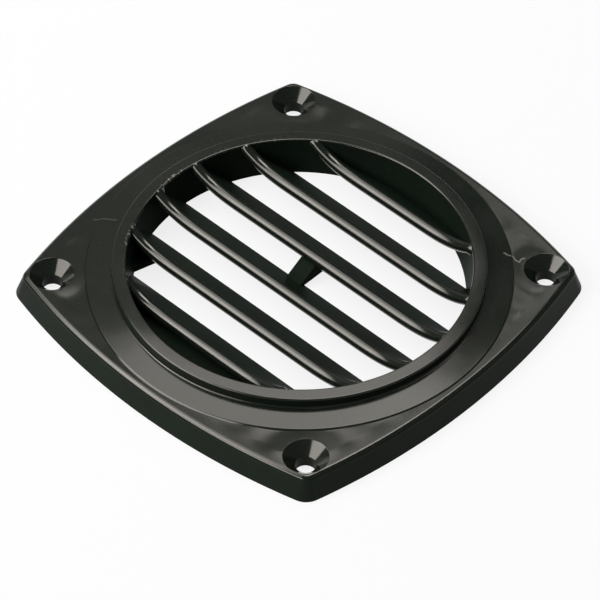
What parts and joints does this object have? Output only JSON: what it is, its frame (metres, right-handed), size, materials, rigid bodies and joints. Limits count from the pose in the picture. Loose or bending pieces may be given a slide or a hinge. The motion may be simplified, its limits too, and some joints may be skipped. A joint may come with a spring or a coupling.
{
  "type": "flush vent",
  "caption": "Square vent cover with bowed sides, a raised round rim, fixed louvre slats and countersunk corner screw holes, moulded in one piece of black plastic.",
  "frame": {"origin": "middle of the back plane that stands on the wall, at the foot of the skirt", "axes": "+Z out of the face, X along the slats, +Y towards the side that the blades fall back to"},
  "size_m": [0.1016, 0.1016, 0.009],
  "materials": {
    "black_abs": "black ABS moulding with a satin sheen"
  },
  "bodies": {
    "root": {"flush_vent": "black_abs"}
  },
  "joints": []
}
